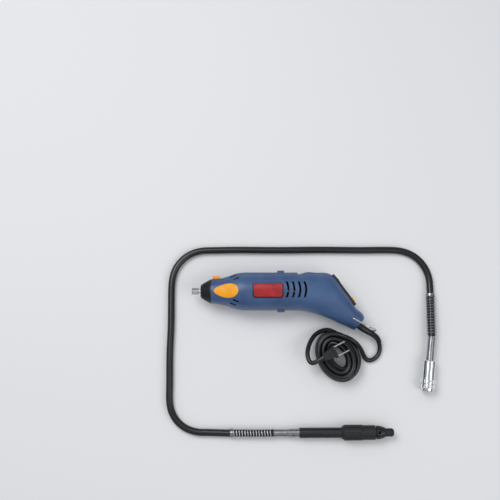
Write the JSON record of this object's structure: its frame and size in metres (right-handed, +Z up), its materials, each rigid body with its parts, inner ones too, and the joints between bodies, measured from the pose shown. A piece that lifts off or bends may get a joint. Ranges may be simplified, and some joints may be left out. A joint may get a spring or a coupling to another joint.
{
  "type": "rotary tool with flexible shaft",
  "caption": "Hand-held rotary tool with a bent tail, coiled mains cord and wire bail, beside its detached flexible shaft with union nut and slim handpiece.",
  "frame": {"origin": "centre of the object's outline on the table, at the table's surface", "axes": "+X from the motor tool's nose towards its tail, +Y from the handpiece towards the motor tool, +Z up"},
  "size_m": [0.3623, 0.259, 0.0512],
  "materials": {
    "blue_housing": "satin moulded nylon",
    "red_plate": "smooth",
    "dark_trim": "matte",
    "amber_inlay": "satin",
    "screw_steel": "zinc plated",
    "laminated_steel": "stacked laminations",
    "copper_wire": "enamelled copper",
    "bearing_steel": "ground",
    "brass_holder": "drawn",
    "carbon": "pressed carbon",
    "dark_panel": "fine grain",
    "green_board": "lacquered",
    "black_rubber": "satin",
    "plug_nickel": "nickel plated",
    "bright_steel": "turned",
    "black_plastic": "fine grain",
    "orange_button": "satin",
    "yellow_button": "satin",
    "grey_dial": "fine grain",
    "sheath_rubber": "semi-gloss",
    "spring_steel": "bright wire",
    "plated_steel": "plated",
    "grip_rubber": "soft, matte",
    "sintered_bronze": "sintered",
    "chrome_nut": "polished",
    "black_plastic_nut": "satin"
  },
  "bodies": {
    "motor_tool": {"housing_upper": "blue_housing", "housing_lower": "blue_housing", "name_plate": "red_plate", "name_plate_rim": "dark_trim", "grip_inlay_upper": "amber_inlay", "grip_inlay_lower": "amber_inlay", "housing_screws": "screw_steel", "stator_core": "laminated_steel", "field_coils": "copper_wire", "front_bearing_outer": "bearing_steel", "rear_bearing_outer": "bearing_steel", "brush_holders": "brass_holder", "carbon_brushes": "carbon", "brush_springs": "screw_steel", "switch_panel": "dark_panel", "dial_carrier": "dark_panel", "switch_body": "dark_panel", "control_board": "green_board", "lock_spring": "screw_steel", "strain_relief": "black_rubber", "power_cord": "black_rubber", "cord_coil": "black_rubber", "plug_body": "black_rubber", "plug_blades": "plug_nickel"},
    "rotor": {"rotor_shaft": "bright_steel", "rotor_core": "laminated_steel", "rotor_winding": "copper_wire", "commutator": "copper_wire", "cooling_fan": "dark_panel", "collet": "bright_steel", "front_bearing_inner": "bearing_steel", "rear_bearing_inner": "bearing_steel"},
    "collet_nut": {"collet_nut": "bright_steel"},
    "nose_cap": {"nose_cap": "black_plastic"},
    "lock_button": {"lock_button": "orange_button", "lock_pin": "screw_steel"},
    "switch_slider": {"switch_slider": "yellow_button"},
    "speed_dial": {"speed_dial": "grey_dial"},
    "hanging_bail": {"hanging_bail": "bright_steel"},
    "brush_cap_top": {"brush_cap_top": "blue_housing"},
    "brush_cap_bottom": {"brush_cap_bottom": "blue_housing"},
    "flexible_shaft": {"flex_sheath": "sheath_rubber", "flex_core": "bright_steel", "coupling_spring_guard": "spring_steel", "handpiece_spring_guard": "spring_steel", "coupling_ferrule": "plated_steel", "handpiece_ferrule": "plated_steel", "handpiece_body": "black_plastic", "handpiece_grip": "grip_rubber", "handpiece_nose": "black_plastic", "handpiece_bushes": "sintered_bronze"},
    "coupling_nut": {"coupling_nut": "chrome_nut"},
    "core_slider": {"core_stub": "bright_steel"},
    "drive_tip": {"drive_tip": "bright_steel"},
    "handpiece_spindle": {"handpiece_spindle": "bright_steel", "handpiece_collet": "bright_steel"},
    "handpiece_collet_nut": {"handpiece_collet_nut": "black_plastic_nut"}
  },
  "joints": [
    {"name": "rotor_spin", "type": "hinge", "parent": "motor_tool", "child": "rotor", "pos_m": [-0.1, 0.0833, 0.02525], "axis": [1, 0, 0], "continuous": true},
    {"name": "collet_nut_turn", "type": "hinge", "parent": "rotor", "child": "collet_nut", "pos_m": [-0.1, 0.0833, 0.02525], "axis": [1, 0, 0], "range_deg": [0, 720]},
    {"name": "nose_cap_turn", "type": "hinge", "parent": "motor_tool", "child": "nose_cap", "pos_m": [-0.1, 0.0833, 0.02525], "axis": [1, 0, 0], "range_deg": [0, 720]},
    {"name": "spindle_lock_press", "type": "slide", "parent": "motor_tool", "child": "lock_button", "axis": [0, -1, 0], "range_m": [0, 0.0024], "stiffness_N_per_m": 900, "springref_m": -0.002, "deforming": ["lock_spring"]},
    {"name": "power_switch_slide", "type": "slide", "parent": "motor_tool", "child": "switch_slider", "axis": [-0.5833, 0.8122, 0], "range_m": [0, 0.005]},
    {"name": "speed_dial_turn", "type": "hinge", "parent": "motor_tool", "child": "speed_dial", "pos_m": [0.02462, 0.09423, 0.02525], "axis": [0, 0, 1], "range_deg": [0, 270]},
    {"name": "bail_swing", "type": "hinge", "parent": "motor_tool", "child": "hanging_bail", "pos_m": [0.0473, 0.0458, 0.02525], "axis": [0, 0, 1], "range_deg": [0, 85]},
    {"name": "brush_cap_top_turn", "type": "hinge", "parent": "motor_tool", "child": "brush_cap_top", "pos_m": [-0.0454, 0.0833, 0.02525], "axis": [0, 1, 0], "range_deg": [0, 720]},
    {"name": "brush_cap_bottom_turn", "type": "hinge", "parent": "motor_tool", "child": "brush_cap_bottom", "pos_m": [-0.0454, 0.0833, 0.02525], "axis": [0, -1, 0], "range_deg": [0, 720]},
    {"name": "flex_shaft_lift", "type": "slide", "parent": "motor_tool", "child": "flexible_shaft", "axis": [0, 0, 1], "range_m": [0, 0.08]},
    {"name": "coupling_nut_spin", "type": "hinge", "parent": "flexible_shaft", "child": "coupling_nut", "pos_m": [0.1568, 0.0249, 0.0102], "axis": [-0.1279, -0.9918, 0], "continuous": true},
    {"name": "core_slide", "type": "slide", "parent": "flexible_shaft", "child": "core_slider", "axis": [-0.1279, -0.9918, 0], "range_m": [0, 0.016]},
    {"name": "drive_tip_spin", "type": "hinge", "parent": "core_slider", "child": "drive_tip", "pos_m": [0.1568, 0.0249, 0.0102], "axis": [-0.1279, -0.9918, 0], "continuous": true},
    {"name": "handpiece_spindle_spin", "type": "hinge", "parent": "flexible_shaft", "child": "handpiece_spindle", "pos_m": [-0.0551, -0.1014, 0.0076], "axis": [0.9996, 0.0063, 0.0288], "continuous": true},
    {"name": "handpiece_nut_turn", "type": "hinge", "parent": "handpiece_spindle", "child": "handpiece_collet_nut", "pos_m": [-0.0551, -0.1014, 0.0076], "axis": [0.9996, 0.0063, 0.0288], "range_deg": [0, 720]}
  ],
  "couplings": [
    {"joint": "drive_tip_spin", "follows": "handpiece_spindle_spin", "ratio": -1}
  ]
}
